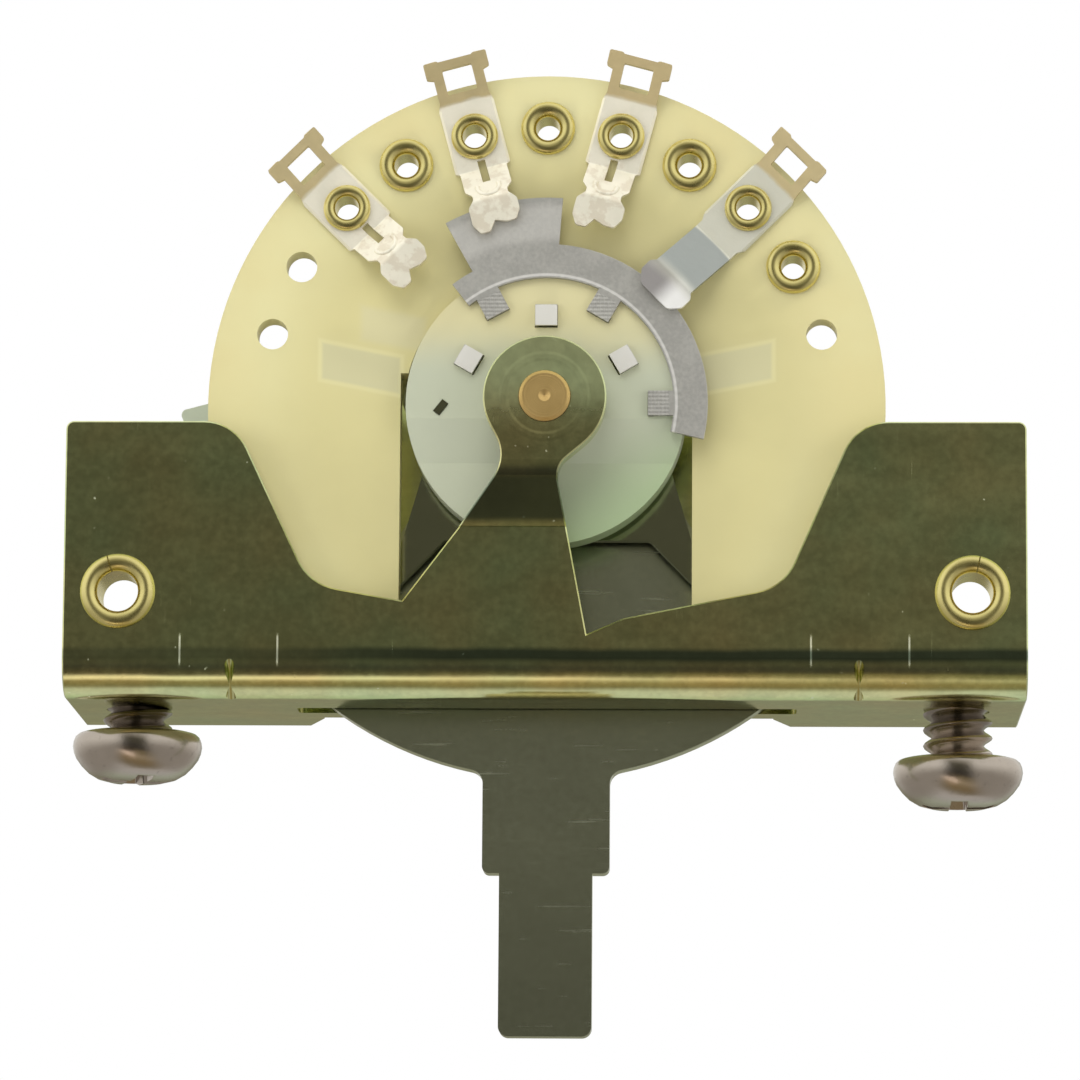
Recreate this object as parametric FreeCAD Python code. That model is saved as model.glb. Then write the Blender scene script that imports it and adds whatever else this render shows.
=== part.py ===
"""A three-way lever switch for choosing a guitar's pickups, of the open-frame kind.

Units are millimetres. X runs along the frame, Z points up and Y points away from the viewer.
The origin is on the frame's mounting face, midway between the two mounting screws.
Angles about the pivot are clockwise from straight up, as seen from the front.
"""
import FreeCAD, Part
import math
import os

from FreeCAD import Vector

# Frame: one folded sheet of plated steel
sheet = 1.2
screw_spacing = 41.275
screw_to_frame_end = 3.26
ear_height = 13.75
bend_inside = 0.7
screw_line_to_front = 5.9
screw_line_to_rear_wall = 4.5
screw_line_to_rear_edge = 5.85
wafer_pad = 0.2
wafer_pad_radius = 2.3
pivot_height = 14.75
hub_radius = 3.06
tongue_joggle = 1.5
joggle_bottom = 8.45
joggle_top = 11.45
edge_break = 0.07
rear_wall_half = 11.4
relief_half = 12.3
swing = 30.0

# Lever and what turns with it
lever_sheet = 1.3
sector_radius = 18.2
sector_half_angle = 38.0
lever_hub_radius = 5.5
shank_half = 3.19
shank_end = 8.27
blade_half = 2.33
blade_end = 16.43
slot_side_gap = 0.3
slot_end_gap = 0.35

# Wafer and its lugs
wafer_radius = 16.95
wafer_thickness = 1.6
wafer_to_frame_end = 0.7
wafer_base_bottom = 2.0
wafer_base_top = 12.6
cutout_gap = 0.12
cutout_side_gap = 0.3
cutout_side_top = 1.7
lug_circle = 14.25
lug_step = 15.0
empty_hole_radius = 0.78
lug_sheet = 0.3
lug_half = 1.42
lug_neck_half = 0.9
lug_edge_break = 0.12
lug_body_inner = 12.6
lug_body_outer = 16.2
lug_end = 18.25
throw_tip = 9.1
throw_lobe_step = 0.3
common_tip = 7.6
common_bend = 11.75
front_lug_lean = 30.0
rear_lug_lean = 76.0

# Rotor and its contact blades
rotor_radius = 7.0
rotor_boss_radius = 2.55
rotor_stand = 0.08
rotor_land = 0.72
land_slope_top = -0.75
land_slope_bottom = -2.9
blade_sheet = 0.28
ring_outer = 8.08
ring_inner = 6.38
tab_outer = 10.45
wiper_gap = 0.05

# Axle, bush and fits
axle_radius = 1.5
axle_end_radius = 1.28
running_gap = 0.05
seat_gap = 0.02
side_gap = 0.1
bush_flange_radius = 3.0
bush_spigot_radius = 2.3
bush_collar_radius = 2.0
spigot_half_flat = 1.9

# Rotor driver plate
driver_sheet = 0.7
driver_to_lever = 0.72
driver_crown = 19.6
driver_foot = 8.37
driver_waist = 6.15
driver_wing = 11.55
driver_foot_half = 8.8

# Eyelets, rivets and screws
eyelet_bore = 0.6
eyelet_barrel = 0.95
eyelet_head = 1.36
eyelet_roll = 1.18
eyelet_rim = 0.34
frame_eyelet_bore = 1.01
frame_eyelet_barrel = 1.3
frame_eyelet_head = 1.87
frame_eyelet_rim = 0.42
frame_eyelet_to_end = 2.72
frame_eyelet_height = 5.16
rivet_head = 1.2
rivet_shank = 0.75
rivet_half_spacing = 2.15
rivet_height = 4.1
thread_radius = 1.75
thread_pitch_radius = 1.56
tapped_hole_gap = 0.04
screw_length = 6.3
screw_head_radius = 3.27
screw_head_height = 2.35
left_screw_out = 1.35
right_screw_out = 2.55

# Index spring
index_sheet = 0.3
index_radius = 5.5
bump_radius = 0.65
bump_hole_gap = 0.12

# Places that follow from the sizes above
front_face = -screw_line_to_front
front_inside = front_face + sheet
hub_front = front_face - tongue_joggle
hub_rear = hub_front + sheet
rear_inside = screw_line_to_rear_wall - sheet
wafer_front = front_inside + wafer_pad
wafer_rear = wafer_front + wafer_thickness
rotor_front = wafer_front - rotor_stand
rotor_rear = wafer_rear + rotor_stand
land_front = rotor_front - rotor_land
front_blade_face = land_front - blade_sheet
rear_blade_face = rotor_rear + blade_sheet
lever_front = -lever_sheet / 2
lever_rear = lever_sheet / 2
driver_rear = lever_front - driver_to_lever
driver_front = driver_rear - driver_sheet
screw_x = screw_spacing / 2
frame_half = screw_x + screw_to_frame_end
frame_eyelet_x = frame_half - frame_eyelet_to_end
cutout_radius = rotor_radius + cutout_gap
cutout_half = rotor_radius + cutout_side_gap
bend_outside = bend_inside + sheet


def corner_edges(points):
    """Line and arc edges round a closed outline of (a, b, radius) corners, in a flat (a, b) plane."""
    corners = [(Vector(p[0], p[1], 0), p[2] if len(p) > 2 else 0.0) for p in points]
    ends = []
    for i, (corner, radius) in enumerate(corners):
        before = (corners[i - 1][0] - corner).normalize()
        after = (corners[(i + 1) % len(corners)][0] - corner).normalize()
        if radius <= 0:
            ends.append((corner, corner, None))
            continue
        half = before.getAngle(after) / 2
        reach = radius / math.tan(half)
        bisector = (before + after).normalize()
        middle = corner + bisector * (radius / math.sin(half) - radius)
        ends.append((corner + before * reach, corner + after * reach, middle))
    edges = []
    for i, (start, end, middle) in enumerate(ends):
        if middle is not None:
            edges.append(Part.Arc(start, middle, end).toShape())
        following = ends[(i + 1) % len(ends)][0]
        if end.distanceToPoint(following) > 1e-6:
            edges.append(Part.LineSegment(end, following).toShape())
    return edges


def flat_face(points):
    return Part.Face(Part.Wire(corner_edges(points)))


def plate(points, front, rear):
    """A plate that faces the viewer: an (x, z) outline between two depths."""
    solid = flat_face(points).extrude(Vector(0, 0, rear - front))
    solid.rotate(Vector(0, 0, 0), Vector(1, 0, 0), 90)
    solid.translate(Vector(0, rear, 0))
    return solid


def beam(points, left, right):
    """A section in (y, z), run along the frame from left to right."""
    solid = flat_face(points).extrude(Vector(0, 0, right - left))
    solid.rotate(Vector(0, 0, 0), Vector(1, 1, 1), 120)
    solid.translate(Vector(left, 0, 0))
    return solid


def slab(points, bottom, top):
    """An (x, y) outline between two heights."""
    solid = flat_face(points).extrude(Vector(0, 0, top - bottom))
    solid.translate(Vector(0, 0, bottom))
    return solid


def disc(radius, front, rear, x=0.0, z=0.0):
    return Part.makeCylinder(radius, rear - front, Vector(x, front, z), Vector(0, 1, 0))


def block(left, right, front, rear, bottom, top):
    return Part.makeBox(right - left, rear - front, top - bottom, Vector(left, front, bottom))


def turned(profile, x=0.0, z=0.0):
    """A turned piece on a line along Y: profile corners are (radius, y, corner radius)."""
    solid = flat_face(profile)
    solid = solid.revolve(Vector(0, 0, 0), Vector(0, 1, 0), 360)
    solid.translate(Vector(x, 0, z))
    return solid


def about_pivot(shape, angle):
    """Turn a shape made upright over the origin to its angle, and lift it to the pivot."""
    shape = shape.copy()
    shape.rotate(Vector(0, 0, 0), Vector(0, 1, 0), angle)
    shape.translate(Vector(0, 0, pivot_height))
    return shape


def polar(radius, angle):
    return radius * math.sin(math.radians(angle)), radius * math.cos(math.radians(angle))


def ring_sector(inner, outer, start, end, front, rear):
    """Part of a flat ring about the origin, between two angles clockwise from up."""
    middle = (start + end) / 2
    spots = [polar(outer, start), polar(outer, middle), polar(outer, end)]
    spots += [polar(inner, end), polar(inner, middle), polar(inner, start)]
    a, b, c, d, e, f = [Vector(x, front, z) for x, z in spots]
    edges = [Part.Arc(a, b, c).toShape(), Part.LineSegment(c, d).toShape()]
    edges += [Part.Arc(d, e, f).toShape(), Part.LineSegment(f, a).toShape()]
    return Part.Face(Part.Wire(edges)).extrude(Vector(0, rear - front, 0))


def folded_strip(path, thickness, bend=0.25):
    """Closed outline of a folded strip: path corners lie on one side, the other is set off by thickness."""
    count = len(path)
    normals = []
    for i in range(count - 1):
        run = Vector(path[i + 1][0] - path[i][0], path[i + 1][1] - path[i][1], 0).normalize()
        normals.append(Vector(-run.y, run.x, 0))
    near, far = [], []
    for i, (a, b) in enumerate(path):
        if i in (0, count - 1):
            normal, reach, radii = normals[min(i, count - 2)], thickness, (0, 0)
        else:
            normal = (normals[i - 1] + normals[i]).normalize()
            reach = thickness / normal.dot(normals[i])
            left_turn = normals[i - 1].cross(normals[i]).z > 0
            radii = (bend + thickness, bend) if left_turn else (bend, bend + thickness)
        near.append((a, b, radii[0]))
        far.append((a + normal.x * reach, b + normal.y * reach, radii[1]))
    return near + far[::-1]


def join(first, *others):
    return first.multiFuse(list(others)).removeSplitter()


# Mounting frame

tongue_left = ((-7.05, 4.72), (-1.83, 11.66))
tongue_right = ((2.1, 3.06), (0.55, 11.22))


def tongue_edge(side, z):
    """Where the leaning tongue's left or right edge stands at a height."""
    (x0, z0), (x1, z1) = side
    return x0 + (z - z0) * (x1 - x0) / (z1 - z0)


def front_outline():
    """Ears, sloping shoulders and the leaning foot of the tongue, as one outline seen from the front."""
    half = frame_half
    foot_top = joggle_bottom + 0.05
    return [
        (-half, -0.1),
        (-half, ear_height, 0.4),
        (-15.5, ear_height, 2.4),
        (-11.65, 5.55, 2.6),
        tongue_left[0],
        (tongue_edge(tongue_left, foot_top), foot_top),
        (tongue_edge(tongue_right, foot_top), foot_top),
        tongue_right[0],
        (3.9, 3.85, 1.5),
        (11.85, 5.45, 2.6),
        (15.5, ear_height, 2.4),
        (half, ear_height, 0.4),
        (half, -0.1),
    ]


def tongue_outline():
    """The tongue above its foot, up to the round hub that carries the axle."""
    return [
        tongue_left[0],
        tongue_left[1] + (1.9,),
        (-hub_radius * 0.866, pivot_height - hub_radius / 2),
        (0, pivot_height),
        (hub_radius * 0.643, pivot_height - hub_radius * 0.766),
        tongue_right[1] + (1.2,),
        tongue_right[0],
    ]


def mounting_frame():
    half = frame_half
    corner = bend_outside
    section = [
        (front_face, ear_height + 1),
        (front_face, 0, corner),
        (screw_line_to_rear_edge, 0),
        (screw_line_to_rear_edge, sheet),
        (front_inside, sheet, bend_inside),
        (front_inside, ear_height + 1),
    ]
    body = beam(section, -half, half)
    front_cut = plate(front_outline(), front_face - 1, front_face + corner)
    flange_keep = block(-half, half, front_face + corner, screw_line_to_rear_edge, 0, sheet)
    body = body.common(join(front_cut, flange_keep))

    tongue_path = [
        (front_inside, joggle_bottom - 3.5),
        (front_inside, joggle_bottom),
        (hub_rear, joggle_top),
        (hub_rear, pivot_height + hub_radius + 1),
    ]
    tongue = beam(folded_strip(tongue_path, sheet, 0.5), -8, 8)
    outline = join(
        plate(tongue_outline(), hub_front - 1, front_inside + 1),
        disc(hub_radius, hub_front - 1, front_inside + 1, 0, pivot_height),
    )
    tongue = tongue.common(outline)
    foot_cut = block(-8, 8, front_face - 1, front_inside + 1, 0, joggle_bottom)
    tongue = tongue.cut(foot_cut)

    rear_start = screw_line_to_rear_wall - corner
    relief = slab(
        [
            (-relief_half, screw_line_to_rear_edge + 1),
            (-relief_half, screw_line_to_rear_edge),
            (-rear_wall_half, rear_start + 0.4, 0.5),
            (-rear_wall_half, rear_start),
            (rear_wall_half, rear_start),
            (rear_wall_half, rear_start + 0.4, 0.5),
            (relief_half, screw_line_to_rear_edge),
            (relief_half, screw_line_to_rear_edge + 1),
        ],
        -1,
        sheet + 1,
    )
    body = body.cut(relief)
    wall_section = [
        (rear_start - 0.5, 0),
        (screw_line_to_rear_wall, 0, corner),
        (screw_line_to_rear_wall, pivot_height + 6),
        (rear_inside, pivot_height + 6),
        (rear_inside, sheet, bend_inside),
        (rear_start - 0.5, sheet),
    ]
    wall = beam(wall_section, -20, 20)
    top = pivot_height
    keep_points = [
        (-rear_wall_half, -1),
        (-rear_wall_half, 3.2, 1.0),
        (-8.6, 5.2, 1.0),
        (-18.2, 13.6, 0.4),
        (-19.1, 15.95, 0.3),
        (-14.0, 17.3, 1.0),
        (-8.9, 13.0, 0.8),
        (-8.6, top + 1.6, 0.8),
        (-4.4, top + 3.6, 2.0),
        (4.4, top + 3.6, 2.0),
        (8.6, top + 1.6, 0.8),
        (8.6, 5.6, 2.0),
        (rear_wall_half, 3.2, 1.0),
        (rear_wall_half, -1),
    ]
    keep = plate(keep_points, 0, screw_line_to_rear_wall + 1)
    wall = wall.common(keep)
    earth_hole = disc(0.8, 0, screw_line_to_rear_wall + 1, -16.6, 15.2)

    pads = []
    for x in (-frame_eyelet_x, frame_eyelet_x):
        pads.append(disc(wafer_pad_radius, front_inside, wafer_front, x, frame_eyelet_height))
    frame = join(body, tongue, wall.cut(earth_hole), *pads)
    cuts = [
        disc(axle_end_radius + seat_gap, hub_front - 1, screw_line_to_rear_wall + 1, 0, top),
        slab(lever_slot_outline(), -1, sheet + 1),
    ]
    for side in (-1, 1):
        x = side * screw_x
        hole_radius = thread_pitch_radius + tapped_hole_gap
        cuts.append(Part.makeCylinder(hole_radius, sheet + 2, Vector(x, 0, -1)))
        x = side * frame_eyelet_x
        barrel = frame_eyelet_barrel + seat_gap
        cuts.append(disc(barrel, front_face - 1, front_inside + 1, x, frame_eyelet_height))
        x = side * 15.57
        groove = Part.makeCylinder(0.24, 5, Vector(x, front_face - 1.0, 2.45), Vector(0, 1, -1))
        cuts.append(groove)
    for angle in (-swing, 0, swing):
        x, z = polar(index_radius, 180 - angle)
        hole = bump_radius + bump_hole_gap
        cuts.append(disc(hole, rear_inside - 1, screw_line_to_rear_wall + 1, x, top + z))
    frame = frame.cut(cuts[0].multiFuse(cuts[1:]))
    return frame.makeChamfer(edge_break, front_rim(frame))


def front_rim(frame):
    """Edges round the upper outline of the front wall and the tongue, which are broken all the way along."""
    edges = []
    for edge in frame.Edges:
        ends = [v.Point for v in edge.Vertexes]
        if len(ends) != 2:
            continue
        spots = [edge.valueAt(edge.FirstParameter + share * (edge.LastParameter - edge.FirstParameter))
                 for share in (0.0, 0.25, 0.5, 1.0)]
        upper = min(p.z for p in ends) > bend_outside + 0.8
        level = max(p.z for p in ends) - min(p.z for p in ends) < 1e-4
        across = level and abs(spots[0].z - joggle_bottom) < 0.6 and abs(spots[2].x) < 5
        flush = all(abs(p.y - front_face) < 1e-4 for p in spots)
        hub = all(abs(p.y - hub_front) < 1e-4 for p in spots) and not level
        slope = all(hub_front - 1e-4 < p.y < front_face + 1e-4 for p in spots) and not level
        if upper and not across and (flush or hub or slope):
            edges.append(edge)
    return edges


def slot_half_length():
    """Half the slot's length: the swung shank's corner and the sector's rim both clear it."""
    lean = math.radians(swing)
    drop = (pivot_height + shank_half * math.sin(lean)) / math.cos(lean)
    corner = drop * math.sin(lean) + shank_half * math.cos(lean)
    rim = math.sqrt(sector_radius ** 2 - (pivot_height - sheet) ** 2)
    return max(corner, rim) + slot_end_gap


def lever_slot_outline():
    half = slot_half_length()
    side = lever_sheet / 2 + slot_side_gap
    return [(-half, -side, 0.3), (half, -side, 0.3), (half, side, 0.3), (-half, side, 0.3)]


# Wafer and what is fixed to it

def lug_angles():
    """The lugs in front: three throws and the common. The lugs behind stand between them."""
    front = {"front_lug_left": -3, "front_lug_middle": -1, "front_lug_right": 1, "front_common_lug": 3}
    rear = {"rear_common_lug": -2, "rear_lug_left": 0, "rear_lug_middle": 2, "rear_lug_right": 4}
    return front, rear


def stator_wafer():
    wafer = disc(wafer_radius, wafer_front, wafer_rear, 0, pivot_height)
    half = frame_half - wafer_to_frame_end
    base = [
        (-half, wafer_base_bottom, 0.6),
        (-half, wafer_base_top, 1.0),
        (half, wafer_base_top, 1.0),
        (half, wafer_base_bottom, 0.6),
    ]
    wafer = join(wafer, plate(base, wafer_front, wafer_rear))
    near, far = wafer_front - 1, wafer_rear + 1
    cuts = [
        disc(cutout_radius, near, far, 0, pivot_height),
        block(-cutout_half, cutout_half, near, far, -5, pivot_height + cutout_side_top),
        block(-half, half, near, far, -5, wafer_base_bottom),
    ]
    for step in range(-5, 6):
        x, z = polar(lug_circle, step * lug_step)
        radius = empty_hole_radius if step in (-5, -4, 5) else eyelet_barrel + seat_gap
        cuts.append(disc(radius, near, far, x, pivot_height + z))
    for side in (-1, 1):
        x = side * frame_eyelet_x
        cuts.append(disc(frame_eyelet_barrel + seat_gap, near, far, x, frame_eyelet_height))
    return wafer.cut(cuts[0].multiFuse(cuts[1:]))


def lug_side(tip, forked):
    """The right-hand edge of a lug lying along its radius, from the solder end in to the wiping tip."""
    top = lug_end
    side = [
        (0.85, top - 0.1),
        (1.0, top, 0.1),
        (1.62, top - 0.05, 0.1),
        (1.62, top - 0.75, 0.1),
        (1.28, top - 0.85),
        (1.28, lug_body_outer + 0.1),
        (lug_half, lug_body_outer - 0.3),
        (lug_half, lug_body_inner, 0.1),
    ]
    if forked:
        neck = lug_neck_half
        return side + [
            (neck + 0.3, lug_body_inner - 0.1, 0.1),
            (neck + 0.3, 11.4, 0.15),
            (neck, 11.1, 0.15),
            (neck, 10.85, 0.15),
            (neck + 0.35, 10.45, 0.2),
            (neck + 0.35, tip + 0.5, 0.25),
            (neck + 0.05, tip, 0.2),
            (0.45, tip, 0.2),
        ]
    return side + [
        (1.2, lug_body_inner - 0.4, 0.1),
        (1.2, tip + 1.4, 0.1),
        (lug_half, tip + 1.15, 0.2),
        (lug_half, tip + 0.55, 0.3),
        (0.95, tip, 0.4),
    ]


def lug_outline(tip, forked):
    left = lug_side(tip, forked)
    right = lug_side(tip + throw_lobe_step, forked) if forked else left
    middle = [(-0.1, tip + throw_lobe_step + 0.2)] if forked else []
    mirrored = [(-p[0],) + tuple(p[1:]) for p in left]
    return right + middle + mirrored[::-1]


def body_chamfers(face):
    """Cutters that break the two long edges of a lug's flat body, whose front lies at this depth."""
    cutters = []
    for side in (-1, 1):
        reach = lug_edge_break + 0.1
        corners = [
            (side * (lug_half + 0.1), face - 0.1),
            (side * (lug_half - reach), face - 0.1),
            (side * (lug_half + 0.1), face + reach),
        ]
        cutters.append(slab(corners, lug_body_inner - 0.1, lug_body_outer - 0.2))
    return cutters


def lug_bead(stand):
    """A raised horseshoe on the slope between a throw's body and its wiping end."""
    outer, inner = lug_body_inner - 0.15, tab_outer + 0.25
    slope = math.degrees(math.atan2(stand, outer - inner))
    bead = Part.makeTorus(0.55, 0.13, Vector(0, 0, 0), Vector(0, 1, 0))
    bead = bead.common(block(-2, 2, -1, 1, -2, 0.1))
    bead.rotate(Vector(0, 0, 0), Vector(1, 0, 0), -slope)
    share = (outer - 11.45) / (outer - inner)
    drop = lug_sheet / math.cos(math.radians(slope))
    bead.translate(Vector(0, wafer_front - share * stand - drop + 0.03, 11.45))
    return bead


def lug(forked, front, angle):
    """One lug: riveted flat on the wafer, stepped out to wipe its blade, its solder end leaning away."""
    tip = throw_tip if forked else common_tip
    rest = tab_outer + 0.25 if forked else ring_outer + 0.9
    bend = lug_body_inner - 0.15 if forked else common_bend
    stand = rotor_stand + blade_sheet + wiper_gap + (rotor_land if front else 0)
    lean = math.radians(front_lug_lean if front else rear_lug_lean)
    reach = lug_end - lug_body_outer
    if front:
        run, lift = reach + 0.1, (reach + 0.1) * math.tan(lean)
    else:
        run, lift = reach * math.cos(lean), reach * math.sin(lean)
    seat = wafer_front if front else wafer_rear
    out = -1 if front else 1
    path = [
        (seat + out * stand, tip - 0.1),
        (seat + out * stand, rest),
        (seat, bend),
        (seat, lug_body_outer),
        (seat + out * lift, lug_body_outer + run),
    ]
    strip = beam(folded_strip(path if front else path[::-1], lug_sheet, 0.15), -2, 2)
    outline = lug_outline(tip, forked)
    low, high = lug_body_outer + 0.38, lug_end - 0.5
    window = [(-0.76, low, 0.08), (-0.76, high, 0.08), (0.76, high, 0.08), (0.76, low, 0.08)]
    if front:
        shape = strip.common(plate(outline, -9, 0)).cut(plate(window, -9, 0))
        for cutter in body_chamfers(seat - lug_sheet):
            shape = shape.cut(cutter)
        if forked:
            shape = shape.fuse(lug_bead(stand)).removeSplitter()
    else:
        outline = [p if p[1] < lug_body_outer else (p[0], p[1] + 1) + tuple(p[2:]) for p in outline]
        shape = strip.common(plate(outline, -9, 0))
        end = wafer_rear + lug_end - lug_body_outer
        top = [(-1.62, -9), (-1.62, end + 1), (1.62, end + 1), (1.62, -9)]
        shape = shape.common(slab(top, 0, 30))
        eye = Part.makeCylinder(0.7, 10, Vector(0, wafer_rear + 1.5, 12), Vector(0, 0, 1))
        shape = shape.cut(eye)
    if forked:
        shape = shape.cut(block(-0.2, 0.2, -9, 9, 11.75, 13.0))
    rivet_hole = disc(eyelet_barrel + seat_gap, -9, 9, 0, lug_circle)
    return about_pivot(shape.cut(rivet_hole), angle)


def hollow_rivet(bore, barrel, front_head, rear_head, front_seat, rear_seat, rim):
    """Both heads are rolled: round outside, and a funnel down into the bore."""
    front_round = min(rim - 0.02, (front_head - bore) * 0.48)
    rear_round = min(rim - 0.02, (rear_head - bore) * 0.48)
    return [
        (bore, front_seat - rim, front_head - bore - front_round - 0.02),
        (front_head, front_seat - rim, front_round),
        (front_head, front_seat),
        (barrel, front_seat),
        (barrel, rear_seat),
        (rear_head, rear_seat),
        (rear_head, rear_seat + rim, rear_round),
        (bore, rear_seat + rim, rear_head - bore - rear_round - 0.02),
    ]


def lug_eyelets():
    eyelets = []
    for step in range(-3, 5):
        x, z = polar(lug_circle, step * lug_step)
        if step % 2:
            ends = (eyelet_roll, eyelet_head, wafer_front - lug_sheet, wafer_rear)
        else:
            ends = (eyelet_head, eyelet_roll, wafer_front, wafer_rear + lug_sheet)
        profile = hollow_rivet(eyelet_bore, eyelet_barrel, *ends, eyelet_rim)
        eyelets.append(turned(profile, x, pivot_height + z))
    return Part.makeCompound(eyelets)


def frame_eyelets():
    head = frame_eyelet_head
    profile = hollow_rivet(
        frame_eyelet_bore, frame_eyelet_barrel, head, head, front_face, wafer_rear, frame_eyelet_rim
    )
    eyelets = []
    for x, turn in ((-frame_eyelet_x, -17), (frame_eyelet_x, 12)):
        split = block(-0.035, 0.035, front_face - 1, front_face - 0.05, 0, head + 1)
        split.rotate(Vector(0, 0, 0), Vector(0, 1, 0), turn)
        split.translate(Vector(x, 0, frame_eyelet_height))
        eyelets.append(turned(profile, x, frame_eyelet_height).cut(split))
    return Part.makeCompound(eyelets)


# Rotor, its blades and its driver

front_tab_angles = (-28, 30, 90)
rear_tab_angles = (-60, 0, 60)
driver_tab_angles = (-92, 130)
front_tab_inner = 5.1
rear_tab_inner = 4.72
clinch_inner = 3.95
driver_tab_inner = 4.9
driver_tab_half = 0.65
front_tab_half = 0.62
rear_tab_half = 0.55
pocket_floor = 0.35


def driver_nub(front, gap):
    """The narrow end of the left driver tab, which comes through to the rotor's face."""
    nub = block(-0.36 - gap, 0.36 + gap, front, rotor_front + 1, -0.18 - gap, 0.18 + gap)
    nub.rotate(Vector(0, 0, 0), Vector(0, 1, 0), 40)
    nub.translate(Vector(0, 0, driver_tab_inner + driver_sheet / 2))
    nub.rotate(Vector(0, 0, 0), Vector(0, 1, 0), driver_tab_angles[0])
    return nub


def rotor():
    body = disc(rotor_radius, rotor_front, rotor_rear)
    boss = disc(rotor_boss_radius, hub_rear + side_gap, rotor_front)
    slope = [
        (land_front - 1, land_slope_top),
        (land_front, land_slope_top),
        (rotor_front, land_slope_bottom),
        (rotor_front, -9),
        (land_front - 1, -9),
    ]
    land = disc(rotor_radius, land_front, rotor_front).cut(beam(slope, -9, 9))
    body = join(body, boss, land)
    cuts = [disc(axle_radius + running_gap, -9, 0)]
    gap = seat_gap
    for angle in front_tab_angles:
        inner, outer = front_tab_inner - gap, front_tab_inner + blade_sheet + gap
        slot = block(-front_tab_half - gap, front_tab_half + gap, -9, land_front + 1.25, inner, outer)
        slot.rotate(Vector(0, 0, 0), Vector(0, 1, 0), angle)
        cuts.append(slot)
    for angle in rear_tab_angles:
        far = rear_tab_inner + blade_sheet + gap
        slot = block(-rear_tab_half - gap, rear_tab_half + gap, -9, 0, clinch_inner - 0.08, far)
        slot.rotate(Vector(0, 0, 0), Vector(0, 1, 0), angle)
        cuts.append(slot)
    for angle in driver_tab_angles:
        half = driver_tab_half + gap
        inner, outer = driver_tab_inner - gap, driver_tab_inner + driver_sheet + gap
        slot = block(-half, half, rotor_front + pocket_floor, 0, inner, outer)
        slot.rotate(Vector(0, 0, 0), Vector(0, 1, 0), angle)
        cuts.append(slot)
    cuts.append(driver_nub(-9, gap))
    return about_pivot(body.cut(cuts[0].multiFuse(cuts[1:])), 0)


def front_contact_blade():
    near, far = front_blade_face, land_front
    pieces = [ring_sector(ring_inner, tab_outer, -29, 4.4, near, far)]
    for angle in front_tab_angles:
        half = front_tab_half
        tab = block(-half, half, near, far, front_tab_inner, ring_inner + 0.3)
        leg = block(-half, half, near, far + 1.2, front_tab_inner, front_tab_inner + blade_sheet)
        tab = tab.fuse(leg)
        tab.rotate(Vector(0, 0, 0), Vector(0, 1, 0), angle)
        pieces.append(tab)
    ring = ring_sector(ring_inner, ring_outer, -29, 103, near, far)
    pieces.append(ring_sector(ring_inner - 0.1, ring_outer - 0.45, -38, -28, near, far))
    return about_pivot(join(ring, *pieces), 0)


def rear_contact_blade():
    near, far = rotor_rear, rear_blade_face
    pieces = [ring_sector(ring_inner, tab_outer, 13.5, 46.5, near, far)]
    clinch, half = front_blade_face, rear_tab_half
    for angle in rear_tab_angles:
        inner, outer = rear_tab_inner, rear_tab_inner + blade_sheet
        tab = block(-half, half, near, far, inner, ring_inner + 0.3)
        leg = block(-half, half, clinch, far, inner, outer)
        foot = block(-half, half, clinch, land_front, clinch_inner, outer)
        tab = tab.fuse(leg).fuse(foot)
        tab.rotate(Vector(0, 0, 0), Vector(0, 1, 0), angle)
        pieces.append(tab)
    ring = ring_sector(ring_inner, ring_outer, -68, 70, near, far)
    return about_pivot(join(ring, *pieces), 0)


def double_flat(radius, half_flat, front, rear):
    return disc(radius, front, rear).common(block(-half_flat, half_flat, front, rear, -radius, radius))


def rotor_driver():
    half = [
        (0, driver_crown),
        (5.0, driver_crown - 0.3, 1.0),
        (driver_wing - 3.85, driver_crown - 0.85, 0.6),
        (driver_wing - 0.35, driver_crown - 0.3, 0.4),
        (driver_wing, driver_crown - 1.8, 0.4),
        (driver_waist + 1.6, driver_crown - 3.15, 1.0),
        (driver_waist, driver_foot + 3.83, 1.0),
        (driver_waist + 1.1, driver_foot + 0.03, 0.5),
        (driver_foot_half, driver_foot - 2.47, 0.3),
        (driver_foot_half - 0.6, driver_foot - 3.12, 0.2),
        (5.15, driver_foot, 0.3),
        (0, driver_foot),
    ]
    outline = half[:-1] + [(-p[0],) + tuple(p[1:]) for p in half[:0:-1]][1:]
    driver = plate(outline, driver_front, driver_rear)
    tabs = []
    for angle in driver_tab_angles:
        half_width = driver_tab_half
        tab = block(
            -half_width, half_width, rotor_front + pocket_floor + 0.1, driver_front + 0.1,
            driver_tab_inner, driver_tab_inner + driver_sheet,
        )
        tabs.append(about_pivot(tab, angle))
    nub = driver_nub(land_front - 0.06, 0).common(disc(rotor_radius, -9, rotor_front + pocket_floor + 0.1))
    tabs.append(about_pivot(nub, 0))
    hole = double_flat(bush_spigot_radius + seat_gap, spigot_half_flat + seat_gap, -9, 0)
    return join(driver, *tabs).cut(about_pivot(hole, 0))


# Lever, its bush and its index spring

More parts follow.
